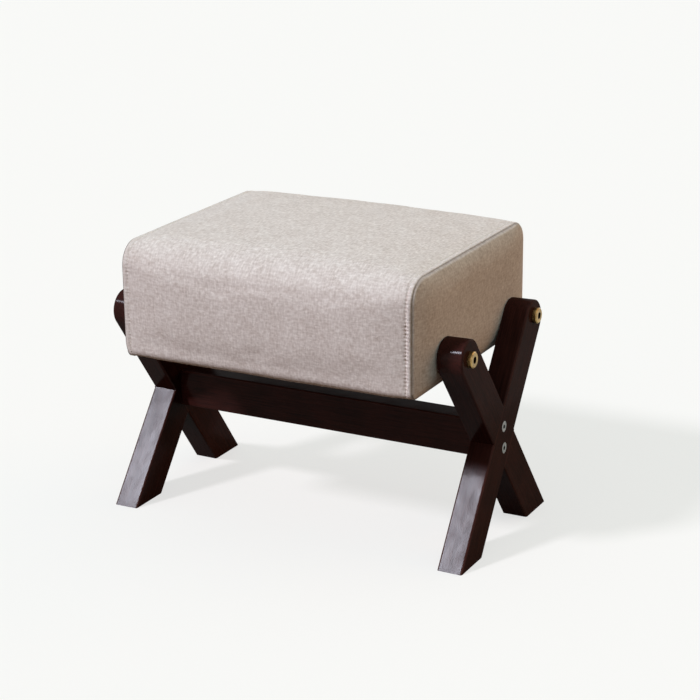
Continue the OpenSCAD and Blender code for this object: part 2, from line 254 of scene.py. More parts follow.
@dataclass(frozen=True)
class StainedHardwood(Finish):
    """Espresso-stained hardwood under sprayed semi-gloss lacquer.

    The grain runs along the piece and barely shows through the dark stain. The lacquer's
    film is a little uneven, which clouds what it mirrors, and it is thin on the eased
    edges, which look redder. The real pores are about 0.2 mm wide and would vanish, so
    they are drawn as lines 1.1 mm wide and 31 mm long. The film's patches are 29 mm wide.
    """

    centre: tuple[float, float, float]
    lean: float
    splay: float = 0.0
    half_t: float = 12.5 * MM
    half_w: float = 18.25 * MM
    pores: tuple[float, float, float] = (900, 900, 32)
    patches: float = 34.0
    eased: tuple[float, float] = (2.2 * MM, 0.3 * MM)
    deep: str = "#1c0e0c"
    stain: str = "#3f1f1b"
    edge: str = "#54302a"

    def sockets(self, node: Adder) -> dict[str, Socket | float]:
        """Draws the grain along the piece's own length, under the film.

        Args:
            node: adds a node to the material.

        Returns:
            What each of the shader's sockets gets.
        """
        place = node("TexCoord")["Object"]
        turn = {"Location": self.centre, "Rotation": (self.lean, self.splay, 0)}
        local = node("Mapping", turn, {"Vector": place}, vector_type="TEXTURE")[0]
        stretched = node("Mapping", {"Scale": self.pores}, {"Vector": local})[0]
        grain = {"Scale": 1.0, "Detail": 4.0, "Roughness": 0.65, "Distortion": 0.4}
        lines = node("TexNoise", grain, {"Vector": stretched})["Fac"]
        film = {"Scale": self.patches, "Detail": 2.0}
        patches = node("TexNoise", film, {"Vector": local})["Fac"]
        tone = node("Math", {1: 0.5}, {0: patches, 2: lines}, operation="MULTIPLY_ADD")[0]
        shades = (0.45, self.deep), (1.0, self.stain)
        stain = node("ValToRGB", links={"Fac": tone}, stops=shades)["Color"]
        split = node("SeparateXYZ", links={0: local})
        nears = []
        for axis, half in (("X", self.half_t), ("Y", self.half_w)):
            away = node("Math", links={0: split[axis]}, operation="ABSOLUTE")[0]
            span = {"From Min": half - self.eased[0], "From Max": half - self.eased[1]}
            nears.append(node("MapRange", span, {"Value": away})["Result"])
        edge = node("Math", links={0: nears[0], 1: nears[1]}, operation="MULTIPLY")[0]
        worn = node("Math", links={0: edge, 1: patches}, operation="MULTIPLY")[0]
        thinned = {"Factor": worn, "A": stain}
        colour = node("Mix", {"B": linear(self.edge)}, thinned, data_type="RGBA")["Result"]
        haze = node("MapRange", {"To Min": 0.4, "To Max": 0.55}, {"Value": patches})["Result"]
        relief = {"Strength": 0.15, "Distance": 0.05 * MM}
        bump = node("Bump", relief, {"Height": lines})[0]
        relief = {"Strength": 0.25, "Distance": 1.2 * MM}
        return {
            "Base Color": colour,
            "Roughness": haze,
            "Normal": bump,
            "Specular IOR Level": 0.0,
            "Coat Weight": 0.09,
            "Coat Roughness": 0.16,
            "Coat Normal": node("Bump", relief, {"Height": patches, "Normal": bump})[0],
        }


@dataclass(frozen=True)
class PlatedMetal(Finish):
    """Plated metal: lathe rings round each head's own axis, and painted shade in the drive socket.

    Heads stand in rows that mirror each other, so one folded centre serves them all. The
    real lathe marks lie about 0.1 mm apart and are drawn at 0.9 mm, to show at all. The
    polish is mottled every 4 mm. A piece without a socket gets no rings.
    """

    colour: str
    shade: str
    roughness: float
    aside_y: float = 0.0
    middle_z: float = 0.0
    above_z: float = 0.0
    socket: float = 0.0
    ring: float = 0.9 * MM
    mottle: float = 260.0
    # painted shade: the dark colour laid in the drive sockets
    socket_shade: str = "#1a130e"

    def sockets(self, node: Adder) -> dict[str, Socket | float]:
        """Mottles the plating and, where there is a drive socket, turns the head and paints shade
        into the socket.

        Args:
            node: adds a node to the material.

        Returns:
            What each of the shader's sockets gets.
        """
        place = node("TexCoord")["Object"]
        grain = {"Scale": self.mottle, "Detail": 2.0}
        mottle = node("TexNoise", grain, {"Vector": place})["Fac"]
        shades = (0.3, self.shade), (0.62, self.colour)
        plating = node("ValToRGB", links={"Fac": mottle}, stops=shades)["Color"]
        span = {"To Min": self.roughness - 0.05, "To Max": self.roughness + 0.08}
        polish = node("MapRange", span, {"Value": mottle})["Result"]
        if not self.socket:
            return {"Base Color": plating, "Roughness": polish, "Metallic": 1.0}
        away = self.from_axis(node, place)
        # painted shade inside the drive socket, fading out at its rim
        span = {"From Min": self.socket + 0.25 * MM, "From Max": self.socket - 0.1 * MM}
        inside = node("MapRange", span, {"Value": away})["Result"]
        socket_shaded = {"Factor": inside, "A": plating}
        colour = node("Mix", {"B": linear(self.socket_shade)}, socket_shaded, data_type="RGBA")["Result"]
        turn = node("Math", {1: 2 * math.pi / self.ring}, {0: away}, operation="MULTIPLY")[0]
        rings = node("Math", links={0: turn}, operation="SINE")[0]
        relief = {"Strength": 0.2, "Distance": 0.02 * MM}
        bump = node("Bump", relief, {"Height": rings})[0]
        return {"Base Color": colour, "Roughness": polish, "Metallic": 1.0, "Normal": bump}

    def from_axis(self, node: Adder, place: Socket) -> Socket:
        """Measures how far a place is from the axis of the nearest head.

        Args:
            node: adds a node to the material.
            place: the socket with the place.

        Returns:
            The socket with the distance.
        """
        split = node("SeparateXYZ", links={0: place})
        middle = {1: self.middle_z}
        centred = node("Math", middle, {0: split["Z"]}, operation="SUBTRACT")[0]
        offsets = []
        for along, beside in ((split["Y"], self.aside_y), (centred, self.above_z)):
            folded = node("Math", links={0: along}, operation="ABSOLUTE")[0]
            offsets.append(node("Math", {1: beside}, {0: folded}, operation="SUBTRACT")[0])
        flat = node("CombineXYZ", links={0: offsets[0], 1: offsets[1]})[0]
        return node("VectorMath", links={0: flat}, operation="LENGTH")["Value"]


@dataclass(frozen=True)
class SawnBoard(Finish):
    """Bare pine and plywood: pale, with darker growth lines about 4 mm apart along X."""

    name: str = "pine_board_bare"
    grain: tuple[float, float, float] = (12, 250, 250)
    pale: str = "#d2b183"
    line: str = "#a87f4f"

    def sockets(self, node: Adder) -> dict[str, Socket | float]:
        """Draws the growth lines.

        Args:
            node: adds a node to the material.

        Returns:
            What each of the shader's sockets gets.
        """
        place = node("TexCoord")["Object"]
        stretched = node("Mapping", {"Scale": self.grain}, {"Vector": place})[0]
        grain = {"Scale": 1.0, "Detail": 5.0, "Distortion": 0.8}
        lines = node("TexNoise", grain, {"Vector": stretched})["Fac"]
        shades = (0.35, self.line), (0.6, self.pale)
        relief = {"Strength": 0.3, "Distance": 0.15 * MM}
        return {
            "Base Color": node("ValToRGB", links={"Fac": lines}, stops=shades)["Color"],
            "Normal": node("Bump", relief, {"Height": lines})[0],
            "Roughness": 0.78,
        }


@dataclass(frozen=True)
class OpenCellFoam(Finish):
    """Polyurethane upholstery foam: straw-yellow and matt, with open cells.

    The real cells are under 1 mm wide and are drawn at 1.5 mm.
    """

    name: str = "polyurethane_foam"
    cell: float = 650.0
    pale: str = "#eadfa9"
    # painted shade: the darker colour of the cells' pits
    pit: str = "#b9a869"

    def sockets(self, node: Adder) -> dict[str, Socket | float]:
        """Draws the cells' walls and pits, with painted shade in the pits.

        Args:
            node: adds a node to the material.

        Returns:
            What each of the shader's sockets gets.
        """
        place = node("TexCoord")["Object"]
        pattern = {"Scale": self.cell, "Randomness": 1.0}
        cells = node("TexVoronoi", pattern, {"Vector": place})["Distance"]
        shades = (0.15, self.pit), (0.55, self.pale)
        relief = {"Strength": 0.5, "Distance": 0.4 * MM}
        return {
            "Base Color": node("ValToRGB", links={"Fac": cells}, stops=shades)["Color"],
            "Normal": node("Bump", relief, {"Height": cells})[0],
            "Roughness": 0.95,
        }


@dataclass(frozen=True)
class SpunbondCloth(Finish):
    """Black spunbond dust cloth: thin, fibrous, with a grid of bonded points 2 mm apart.

    Its fibres are finer than the picture shows and are drawn 1.4 mm apart.
    """

    name: str = "spunbond_dust_cloth"
    pitch: float = 2.0 * MM
    fibres: float = 700.0
    deep: str = "#121213"
    fibre: str = "#2b2b2e"

    def sockets(self, node: Adder) -> dict[str, Socket | float]:
        """Draws the bonded points and the fibres between them.

        Args:
            node: adds a node to the material.

        Returns:
            What each of the shader's sockets gets.
        """
        uv = node("UVMap", uv_map="cloth")["UV"]
        pattern = {"Scale": 1 / self.pitch, "Randomness": 0.0}
        points = node("TexVoronoi", pattern, {"Vector": uv})["Distance"]
        grain = {"Scale": self.fibres, "Detail": 4.0, "Distortion": 2.0}
        fibres = node("TexNoise", grain, {"Vector": uv})["Fac"]
        shades = (0.35, self.deep), (0.7, self.fibre)
        height = node("Math", {1: 0.4}, {0: fibres, 2: points}, operation="MULTIPLY_ADD")[0]
        relief = {"Strength": 0.5, "Distance": 0.15 * MM}
        return {
            "Base Color": node("ValToRGB", links={"Fac": fibres}, stops=shades)["Color"],
            "Normal": node("Bump", relief, {"Height": height})[0],
            "Roughness": 0.75,
        }


@dataclass(frozen=True)
class SewingThread(Finish):
    """Twisted polyester thread: its plies show as slanting bands, light and dark.

    The wave's scale of 400 lays the bands 1.6 mm apart.
    """

    name: str = "sewing_thread_twisted"
    twist: float = 400.0
    light: str = "#ece4d8"
    shade: str = "#b3a797"

    def sockets(self, node: Adder) -> dict[str, Socket | float]:
        """Draws the slanting bands.

        Args:
            node: adds a node to the material.

        Returns:
            What each of the shader's sockets gets.
        """
        place = {"Vector": node("TexCoord")["Object"]}
        bands = {"Scale": self.twist, "Distortion": 0.6}
        plies = node("TexWave", bands, place, bands_direction="DIAGONAL")["Fac"]
        shades = (0.2, self.shade), (0.7, self.light)
        return {
            "Base Color": node("ValToRGB", links={"Fac": plies}, stops=shades)["Color"],
            "Roughness": 0.7,
        }


def finish_piece(
    shape: bmesh.types.BMesh, name: str, material: bpy.types.Material
) -> bpy.types.Object:
    """Turns a bmesh into a smooth piece that rides on the stool.

    Args:
        shape: the shape, in its place. It is freed.
        name: the piece's name.
        material: its one material.

    Returns:
        The piece.
    """
    mesh = bpy.data.meshes.new(name)
    for face in shape.faces:
        face.smooth = True
    shape.to_mesh(mesh)
    shape.free()
    mesh.materials.append(material)
    piece = bpy.data.objects.new(name, mesh)
    bpy.context.scene.collection.objects.link(piece)
    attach(piece, BODY)
    return piece


def drop_piece(piece: bpy.types.Object) -> None:
    """Removes a working piece and its mesh.

    Args:
        piece: the piece.
    """
    mesh = piece.data
    bpy.data.objects.remove(piece)
    bpy.data.meshes.remove(mesh)


def smoothstep(x: float) -> float:
    """Rises smoothly from 0 at 0 to 1 at 1."""
    t = min(1.0, max(0.0, x))
    return t * t * (3 - 2 * t)


@dataclass(frozen=True)
class SeatForm:
    """The seat's soft form, with the sizes that the solids have."""

    seam_x: float = 149.586 * MM
    seam_y: float = 121.75 * MM
    top: float = 276.5 * MM
    under: float = 168.0 * MM
    hem_w: float = 24.0 * MM
    top_crown: float = 9.0 * MM
    face_crown: float = 6.0 * MM
    end_crown: float = 8.0 * MM
    crown_power: float = 2.6
    fullness_power: int = 3
    front_r: float = 22.5 * MM
    rear_r: float = 19.5 * MM
    under_r: float = 7.0 * MM
    arc_points: int = 33
    uneven: float = 0.7 * MM
    lumps: float = 17
    droop: float = 1.6 * MM
    slack_reach: float = 30 * MM
    low_from: float = 16 * MM
    low_reach: float = 14 * MM
    flat_from: float = 12.5 * MM
    flat_reach: float = 5.5 * MM
    corner_sag: float = 2.4 * MM
    corner_reach: float = 13.0 * MM
    corner_turn: float = 3.2 * MM
    corner_tight: float = 8.0 * MM

    @property
    def hem_y(self) -> float:
        """How far from the middle the front and rear hems end."""
        return self.seam_y - self.hem_w

    @property
    def middle(self) -> float:
        """The height of the seat's middle."""
        return (self.top + self.under) / 2

    @property
    def half_h(self) -> float:
        """Half of the seat's height."""
        return (self.top - self.under) / 2

    def section(self) -> np.ndarray:
        """Follows the section from the front hem over the top to the rear hem.

        Returns:
            Rows of length so far, Y, Z and the outward direction in Y and Z.
        """
        side, top, under = self.seam_y, self.top, self.under
        arcs = (
            (self.under_r - side, under + self.under_r, self.under_r, 270, 180),
            (self.front_r - side, top - self.front_r, self.front_r, 180, 90),
            (side - self.rear_r, top - self.rear_r, self.rear_r, 90, 0),
            (side - self.under_r, under + self.under_r, self.under_r, 0, -90),
        )
        rows = [(-self.hem_y, under, 0.0, -1.0)]
        for y, z, r, start, stop in arcs:
            for angle in np.radians(np.linspace(start, stop, self.arc_points)):
                c, s = math.cos(angle), math.sin(angle)
                rows.append((y + r * c, z + r * s, c, s))
        rows.append((self.hem_y, under, 0.0, -1.0))
        table = np.array(rows)
        steps = np.hypot(np.diff(table[:, 0]), np.diff(table[:, 1]))
        lengths = np.concatenate([[0.0], np.cumsum(steps)])
        return np.column_stack([lengths, table])

    @staticmethod
    def row_at(table: np.ndarray, along: float) -> np.ndarray:
        """Reads Y, Z and the outward direction from section() at a length along it."""
        return np.array([np.interp(along, table[:, 0], table[:, i]) for i in range(1, 5)])

    def fullness(self, x: float) -> float:
        """How full the seat is at x, from 0 at an end seam to 1 in the middle."""
        return 1 - min(1.0, abs(x) / self.seam_x) ** self.fullness_power

    def on_band(self, row: np.ndarray, x: float) -> tuple[Vector, Vector]:
        """Lays one point of the cover band on the seat.

        Args:
            row: Y, Z and the outward direction, from row_at().
            x: the place along the seat.

        Returns:
            The point and its outward direction.
        """
        y, z, side, up = row
        rise = max(0.0, up)
        drop = 1 - min(1.0, abs(z - self.middle) / self.half_h) ** self.crown_power
        span = 1 - min(1.0, abs(y) / self.seam_y) ** self.crown_power
        full = self.fullness(x)
        out_y = side * full * self.face_crown * drop
        out_z = rise * full * self.top_crown * span
        point = Vector((x, y + out_y, z + out_z))
        outward = Vector((0.0, side, up))
        slack = smoothstep((self.seam_x - abs(x)) / self.slack_reach)
        low = smoothstep((self.under + self.low_from - z) / self.low_reach)
        flat = 1 - smoothstep((abs(y) - self.seam_y + self.flat_from) / self.flat_reach)
        slack *= 1 - low * flat
        wave = self.uneven * (1 + low) * noise.noise(point * self.lumps)
        droop = self.droop * low * max(0.0, -y / self.seam_y)
        point += outward * slack * (wave + droop)
        return point, outward

    def slack_corner(self, point: Vector) -> Vector:
        """Where the cloth's slackest corner, the lower left front one, hangs and turns to.

        Args:
            point: a place on the cloth.

        Returns:
            How far the cloth moves there.
        """
        away = (point - Vector((-self.seam_x, -self.seam_y, self.under))).length
        near = math.exp(-((away / self.corner_reach) ** 2))
        tight = math.exp(-((away / self.corner_tight) ** 2))
        return Vector((self.corner_turn * tight, 0.0, -self.corner_sag * near))

    def corner_radius(self, a: float, b: float) -> float:
        """The outline's corner radius in the quarter where (a, b) lies."""
        upper = self.front_r if a < 0 else self.rear_r
        return self.under_r if b < 0 else upper

    def on_panel(self, a: float, b: float) -> tuple[float, float, float]:
        """Fits a point of a square cloth into the end seam's outline.

        Args:
            a: place across the square, from -1 at the front to 1 at the rear.
            b: place up the square, from -1 to 1.

        Returns:
            Y, Z and the share of the way from the middle to the seam.
        """
        share = max(abs(a), abs(b), 1e-9)
        y, z = a / share * self.seam_y, b / share * self.half_h
        r = self.corner_radius(a, b)
        inner_y, inner_z = self.seam_y - r, self.half_h - r
        if abs(y) > inner_y and abs(z) > inner_z:
            away = Vector((abs(y) - inner_y, abs(z) - inner_z))
            away *= r / away.length
            y = math.copysign(inner_y + away.x, y)
            z = math.copysign(inner_z + away.y, z)
        return y * share, self.middle + z * share, share


@dataclass(frozen=True)
class SewnRoll:
    """The roll that the folded seam allowance makes beside each end seam.

    The stitches pull at the line of the seam's allowance and, in a fan, at the cloth before
    it. Each pulls harder or softer, and sits a little off its place.
    """

    width: float = 6.0 * MM
    height: float = 1.0 * MM
    roundness: float = 0.85
    stitch: float = 3.4 * MM
    off_place: float = 1.6
    off_scale: float = 90
    pull: float = 1.1 * MM
    pull_spread: float = 1.1
    pull_scale: float = 55
    line_share: float = 0.3
    line_width: float = 1.1 * MM
    fan_share: float = 0.7
    fan_place: float = 0.92
    fan_width: float = 2.3 * MM
    valley: float = 0.35 * MM
    tuck: float = 2.0 * MM
    tuck_width: float = 0.9 * MM
    faint: float = 0.05
    faint_to: float = 0.35
    faint_fade: float = 0.5
    # how dark and how wide the painted shade beside a seam is
    seam_shade_dark: float = 0.85
    seam_shade_width: float = 1.0 * MM

    def strength(self, v: float, seed: float) -> float:
        """How hard the stitches pull at v, from about 0.5 to 1.5."""
        return 1.0 + self.pull_spread * noise.noise(Vector((v * self.pull_scale, seed, 0.0)))

    def seam_shade(self, gap: float) -> float:
        """How dark the painted shade is where the cloth dives into the seam."""
        return self.seam_shade_dark * math.exp(-((gap / self.seam_shade_width) ** 2))

    def out(self, gap: float, v: float, seed: float, face: float) -> float:
        """How far the cloth stands out.

        Args:
            gap: distance from the seam along the cloth.
            v: distance along the seam.
            seed: tells the two ends of the seat apart.
            face: 1 on the front and rear faces and 0 on top, where the roll is faint.

        Returns:
            The distance outward, below zero where the cloth is pulled in.
        """
        crest = math.sin(math.pi * min(1.0, max(0.0, gap / self.width))) ** self.roundness
        phase = 2 * math.pi * v / self.stitch
        phase += self.off_place * noise.noise(Vector((v * self.off_scale, seed + 7, 0.0)))
        beat = 0.5 + 0.5 * math.cos(phase)
        line = math.exp(-(((gap - self.width) / self.line_width) ** 2))
        fan = math.exp(-(((gap - self.fan_place * self.width) / self.fan_width) ** 2))
        pulled = self.line_share * line + self.fan_share * fan * beat
        pulled *= self.strength(v, seed)
        groove = math.exp(-((gap / self.tuck_width) ** 2))
        full = smoothstep((face - self.faint_to) / self.faint_fade)
        weight = self.faint + (1 - self.faint) * full
        raised = self.height * crest - self.pull * pulled - self.valley * line
        return weight * raised - self.tuck * groove


def flat_cloth(columns: int, rows: int) -> bmesh.types.BMesh:
    """Starts a cloth as a grid from -1 to 1 both ways, with an empty UV map.

    Args:
        columns: how many faces it has along X.
        rows: how many faces it has along Y.

    Returns:
        The cloth.
    """
    cloth = bmesh.new()
    cloth.loops.layers.uv.new("cloth")
    bmesh.ops.create_grid(cloth, x_segments=columns, y_segments=rows, size=1.0)
    return cloth


def write_flat(
    cloth: bmesh.types.BMesh, place: Callable[[bmesh.types.BMVert], tuple[float, float]]
) -> None:
    """Writes the flat cloth's metres into its UV map.

    Args:
        cloth: the cloth.
        place: gives a vertex's place on the flat cloth.
    """
    uv = cloth.loops.layers.uv["cloth"]
    for face in cloth.faces:
        for loop in face.loops:
            loop[uv].uv = place(loop.vert)


@dataclass(frozen=True)
class Padding:
    """What presses sewn cloth outward, simulated as air behind it.

    The cap is the most that any vertex may move outward, and none moves in.
    """

    pressure: float
    cap: float
    frames: int = 20
    smoothing: int = 4

    def settle(self, piece: bpy.types.Object, held: str) -> None:
        """Simulates the cloth and keeps how it swells between its seams.

        Args:
            piece: the cloth, pinned at its seams.
            held: the name of its group of pinned vertices.
        """
        scene = bpy.context.scene
        rest = np.array([v.co[:] for v in piece.data.vertices])
        outward = np.array([v.normal[:] for v in piece.data.vertices])
        modifier = piece.modifiers.new("cloth", "CLOTH")
        settings = modifier.settings
        # A close weave: stiff along its threads, so that it swells and hardly stretches.
        settings.quality = 6
        settings.mass = 0.35
        settings.tension_stiffness = 22
        settings.compression_stiffness = 18
        settings.shear_stiffness = 8
        settings.bending_stiffness = 1.2
        settings.air_damping = 4
        settings.use_pressure = True
        settings.uniform_pressure_force = self.pressure
        settings.shrink_min = -0.012
        settings.vertex_group_mass = held
        settings.effector_weights.gravity = 0
        modifier.collision_settings.use_collision = False
        for number in range(1, self.frames + 1):
            scene.frame_set(number)
        graph = bpy.context.evaluated_depsgraph_get()
        settled = np.array([v.co[:] for v in piece.evaluated_get(graph).data.vertices])
        piece.modifiers.remove(modifier)
        scene.frame_set(1)
        swell = np.maximum(0.0, np.sum((settled - rest) * outward, axis=1))
        swell = self.cap * np.tanh(swell / self.cap)
        first, second = np.array([e.vertices[:] for e in piece.data.edges]).T
        count = np.bincount(np.concatenate([first, second]), minlength=len(rest))
        for _ in range(self.smoothing):
            total = np.bincount(first, swell[second], len(rest))
            total += np.bincount(second, swell[first], len(rest))
            swell = (swell + total / count) / 2
        for vertex, place in zip(piece.data.vertices, rest + outward * swell[:, None]):
            vertex.co = place
        piece.data.update()

    def fill(
        self,
        cloth: bmesh.types.BMesh,
        name: str,
        linen: bpy.types.Material,
        held: dict[int, float],
    ) -> bmesh.types.BMesh:
        """Fills sewn cloth and subdivides it once.

        Args:
            cloth: the laid cloth. It is freed.
            name: the working piece's name.
            linen: the cloth's material.
            held: how firmly each vertex is held, by its number.

        Returns:
            The full, finer cloth.
        """
        draft = finish_piece(cloth, name, linen)
        group = draft.vertex_groups.new(name="pin")
        for index, weight in held.items():
            group.add([index], weight, "REPLACE")
        self.settle(draft, group.name)
        modifier = draft.modifiers.new("finer", "SUBSURF")
        modifier.levels = 1
        modifier.render_levels = 1
        graph = bpy.context.evaluated_depsgraph_get()
        mesh = bpy.data.meshes.new_from_object(draft.evaluated_get(graph))
        finer = bmesh.new()
        finer.from_mesh(mesh)
        bpy.data.meshes.remove(mesh)
        drop_piece(draft)
        return finer


def spacing(length: float, near: list[float], step: float) -> np.ndarray:
    """Spaces columns closely beside both ends of a length and evenly between.

    Args:
        length: the whole length, centred on zero.
        near: distances from an end of the close columns, from zero up.
        step: the spacing in the middle, roughly.

    Returns:
        The places, from -length / 2 to length / 2.
    """
    half = length / 2
    low = [-half + d for d in near]
    gap = -2 * low[-1]
    count = max(1, round(gap / step))
    middle = [low[-1] + gap * i / count for i in range(1, count)]
    return np.array(low + middle + [-x for x in reversed(low)])


@dataclass
class CoverBand:
    """The linen band over the seat's front, top and rear, hemmed underneath."""

    form: SeatForm
    roll: SewnRoll
    linen: bpy.types.Material
    rows: int = 340
    step: float = 7.2 * MM
    padding: Padding = Padding(3.5, 1.4 * MM)
    seam_hold: tuple[float, float] = (3 * MM, 14 * MM)
    hem_hold: tuple[float, float] = (26 * MM, 12 * MM)
    allowance: float = 10 * MM
    hem_allowance: float = 4 * MM
    roll_reach: float = 22 * MM
    left_share: float = 0.3

    def flat(self) -> tuple[float, float]:
        """The flat cloth's width and length, with its seam allowances."""
        length = float(self.form.section()[-1, 0])
        return 2 * (self.form.seam_x + self.allowance), length + 2 * self.hem_allowance

    def columns(self) -> np.ndarray:
        """Places of the columns along X, close together beside the seams."""
        near = [0.0, 0.5, 1.1, 1.8, 2.6, 3.5, 4.4, 5.2, 6.0, 6.8, 7.7, 9.0, 11.4, 15.0]
        return spacing(2 * self.form.seam_x, [d * MM for d in near], self.step)

    def lay(self) -> tuple[bmesh.types.BMesh, dict[int, float]]:
        """Lays a flat grid of cloth round the seat.

        Returns:
            The mesh, and how firmly the seams and hems hold each vertex, by its number.
        """
        table = self.form.section()
        length = table[-1, 0]
        columns = self.columns()
        count = len(columns) - 1
        cloth = flat_cloth(count, self.rows)
        places = {}
        for vertex in cloth.verts:
            across = float(columns[round((vertex.co.x + 1) / 2 * count)])
            places[vertex] = (across, (vertex.co.y + 1) / 2 * length)
        write_flat(cloth, places.get)
        for vertex, (across, along) in places.items():
            vertex.co, _ = self.form.on_band(self.form.row_at(table, along), across)
        cloth.normal_update()
        held = {}
        for vertex, (across, along) in places.items():
            seam, hem = self.form.seam_x - abs(across), min(along, length - along)
            free = smoothstep((seam - self.seam_hold[0]) / self.seam_hold[1])
            free *= smoothstep((hem - self.hem_hold[0]) / self.hem_hold[1])
            held[vertex.index] = 1 - free
        return cloth, held

    def build(self) -> bpy.types.Object:
        """Lays, fills and sews the band.

        Returns:
            The piece.
        """
        cloth, held = self.lay()
        cloth = self.padding.fill(cloth, "band_draft", self.linen, held)
        self.sew(cloth)
        piece = finish_piece(cloth, "linen_cover_band", self.linen)
        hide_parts("cover_band")
        return piece

    def sew(self, cloth: bmesh.types.BMesh) -> None:
        """Raises the sewn rolls and pulls in the stitches.

        Args:
            cloth: the filled band.
        """
        uv = cloth.loops.layers.uv["cloth"]
        # the layer that holds the painted seam shade, which the linen's colour reads
        seam_shade = cloth.verts.layers.float.new("seam_shade")
        cloth.normal_update()
        moves = []
        for vertex in cloth.verts:
            across, along = vertex.link_loops[0][uv].uv
            gap = self.form.seam_x - abs(across)
            vertex[seam_shade] = self.roll.seam_shade(gap)
            moves.append((vertex, self.form.slack_corner(vertex.co)))
            outward = Vector((0.0, vertex.normal.y, vertex.normal.z))
            if gap > self.roll_reach or outward.length < 1e-6:
                continue
            outward.normalize()
            out = self.roll.out(gap, along, math.copysign(3.0, across), abs(outward.y))
            out *= 1.0 if across > 0 else self.left_share
            if outward.z < 0:
                out *= 1 + outward.z
            moves.append((vertex, outward * out))
        for vertex, move in moves:
            vertex.co += move


@dataclass
class EndPanel:
    """A linen end panel, sewn to the band and hemmed under the seat."""

    form: SeatForm
    roll: SewnRoll
    end: End
    linen: bpy.types.Material
    columns: int = 74
    rows: int = 36
    padding: Padding = Padding(3.0, 0.8 * MM)
    held_share: float = 0.12
    crown_power: int = 6
    ease_power: float = 1.25
    inner_x: float = 160.315 * MM
    cross_z: float = 99.274 * MM
    leg_top: float = 215.3 * MM
    splay: float = 1.2
    clear: float = 0.1 * MM
    lip: float = 0.1 * MM
    lip_place: float = 3.0 * MM
    lip_width: float = 1.8 * MM
    groove: float = 2.0 * MM
    groove_width: float = 0.9 * MM
    plain_below: float = 6 * MM
    hem_rows: int = 6
    hem_end: float = 0.3 * MM
    hem_find: float = 0.2 * MM

    def build(self) -> bpy.types.Object:
        """Fits, fills, tucks and hems the panel.

        Returns:
            The piece.
        """
        form = self.form
        cloth = flat_cloth(self.columns, self.rows)
        held = {}
        for vertex in cloth.verts:
            y, z, share = form.on_panel(self.eased(vertex.co.x), self.eased(vertex.co.y))
            x = form.seam_x + form.end_crown * (1 - share**self.crown_power)
            held[vertex.index] = 1 - smoothstep((1 - share) / self.held_share)
            vertex.co = Vector((x, y, z))
        write_flat(cloth, lambda vertex: vertex.co.yz)
        side = self.end.name.lower()
        cloth = self.padding.fill(cloth, f"{side}_panel_draft", self.linen, held)
        self.tuck(cloth)
        self.hem(cloth)
        if self.end is End.LEFT:
            bmesh.ops.scale(cloth, vec=(-1, 1, 1), verts=cloth.verts)
            bmesh.ops.reverse_faces(cloth, faces=cloth.faces)
            for vertex in cloth.verts:
                vertex.co += form.slack_corner(vertex.co)
        piece = finish_piece(cloth, f"linen_{side}_end", self.linen)
        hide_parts(f"{side}_end_panel")
        return piece

    def limit(self, z: float) -> float:
        """How far out the cloth may stand at z without entering the leaning legs."""
        rise = min(z, self.leg_top) - self.cross_z
        return self.inner_x - rise * math.tan(math.radians(self.splay)) - self.clear

    def eased(self, t: float) -> float:
        """Draws the grid's lines together towards the seam."""
        return math.copysign(1 - (1 - abs(t)) ** self.ease_power, t)

    def tuck(self, cloth: bmesh.types.BMesh) -> None:
        """Turns the cloth's edge into the seam and rounds it over a thin lip.

        Args:
            cloth: the filled panel.
        """
        form = self.form
        # the layer that holds the painted seam shade, which the linen's colour reads
        seam_shade = cloth.verts.layers.float.new("seam_shade")
        for vertex in cloth.verts:
            y, z = vertex.co.y, vertex.co.z - form.middle
            gap_y, gap_z = form.seam_y - abs(y), form.half_h - abs(z)
            gap, r = min(gap_y, gap_z), form.corner_radius(y, z)
            if gap_y < r and gap_z < r:
                gap = r - math.hypot(r - gap_y, r - gap_z)
            if z > self.plain_below - form.half_h:
                lip = math.exp(-(((gap - self.lip_place) / self.lip_width) ** 2))
                groove = math.exp(-((max(0.0, gap) / self.groove_width) ** 2))
                vertex.co.x += self.lip * lip - self.groove * groove
            vertex.co.x = min(vertex.co.x, self.limit(vertex.co.z))
            vertex[seam_shade] = self.roll.seam_shade(max(0.0, gap))

    def hem(self, cloth: bmesh.types.BMesh) -> None:
        """Folds the lower edge under the end board.

        Args:
            cloth: the tucked panel.
        """
        form = self.form
        uv = cloth.loops.layers.uv["cloth"]
        reach, low = form.hem_y - self.hem_end, form.under + self.hem_find
        edges = [
            e
            for e in cloth.edges
            if e.is_boundary and all(v.co.z < low and abs(v.co.y) <= reach for v in e.verts)
        ]
        depth = form.hem_w / self.hem_rows
        for number in range(self.hem_rows):
            made = bmesh.ops.extrude_edge_only(cloth, edges=edges)["geom"]
            new_verts = [g for g in made if isinstance(g, bmesh.types.BMVert)]
            edges = [
                g
                for g in made
                if isinstance(g, bmesh.types.BMEdge) and all(v in new_verts for v in g.verts)
            ]
            for vertex in new_verts:
                vertex.co.x = form.seam_x - depth * (number + 1)
                vertex.co.z = form.under + self.clear
            for face in {f for v in new_verts for f in v.link_faces}:
                for loop in face.loops:
                    fold = form.seam_x - loop.vert.co.x if loop.vert in new_verts else 0.0
                    if number and loop.vert not in new_verts:
                        fold = depth * number
                    loop[uv].uv = (loop.vert.co.y, form.under - fold)
        bmesh.ops.recalc_face_normals(cloth, faces=cloth.faces)
        outer = max(cloth.faces, key=lambda face: face.calc_center_median().x)
        if outer.normal.x < 0:
            bmesh.ops.reverse_faces(cloth, faces=cloth.faces)


